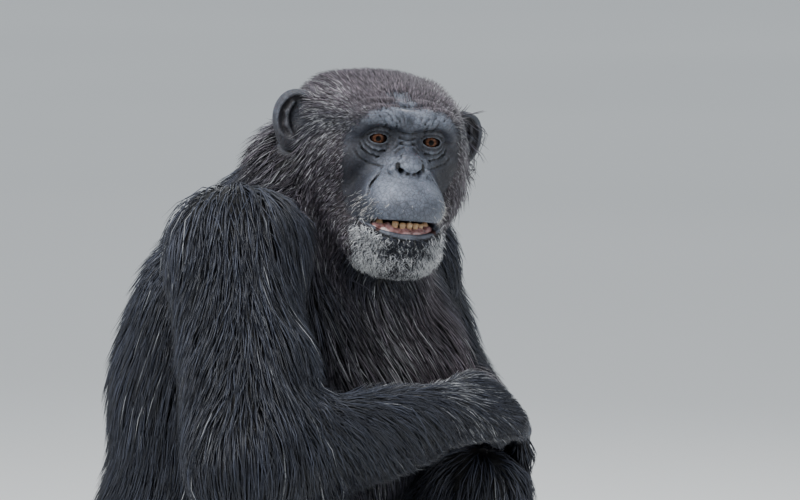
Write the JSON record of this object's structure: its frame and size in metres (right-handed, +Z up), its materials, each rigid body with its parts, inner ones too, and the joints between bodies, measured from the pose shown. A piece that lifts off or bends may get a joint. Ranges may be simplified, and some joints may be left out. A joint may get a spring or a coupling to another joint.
{
  "type": "seated chimpanzee figure",
  "caption": "Life-size seated chimpanzee with crossed forearms resting on a raised knee and the head turned to its right, posed as a still museum model.",
  "frame": {"origin": "middle of the bounding box's underside, on the floor", "axes": "+Z up, the chest faces -Y, the animal's left is +X"},
  "size_m": [0.7382, 0.6954, 0.7609],
  "materials": {
    "coat": "long black hair",
    "skin": "satin",
    "eye": "gloss",
    "gum": "wet"
  },
  "bodies": {
    "root": {"head": "skin", "ear_left": "skin", "ear_right": "skin", "eye_left": "eye", "eye_right": "eye", "lower_gum": "gum", "neck": "coat", "chest": "coat", "abdomen": "coat", "pelvis": "coat", "upper_arm_left": "coat", "forearm_left": "coat", "hand_left": "skin", "thigh_left": "coat", "shank_left": "coat", "foot_left": "skin", "upper_arm_right": "coat", "forearm_right": "coat", "hand_right": "skin", "thigh_right": "coat", "shank_right": "coat", "foot_right": "skin"}
  },
  "joints": []
}
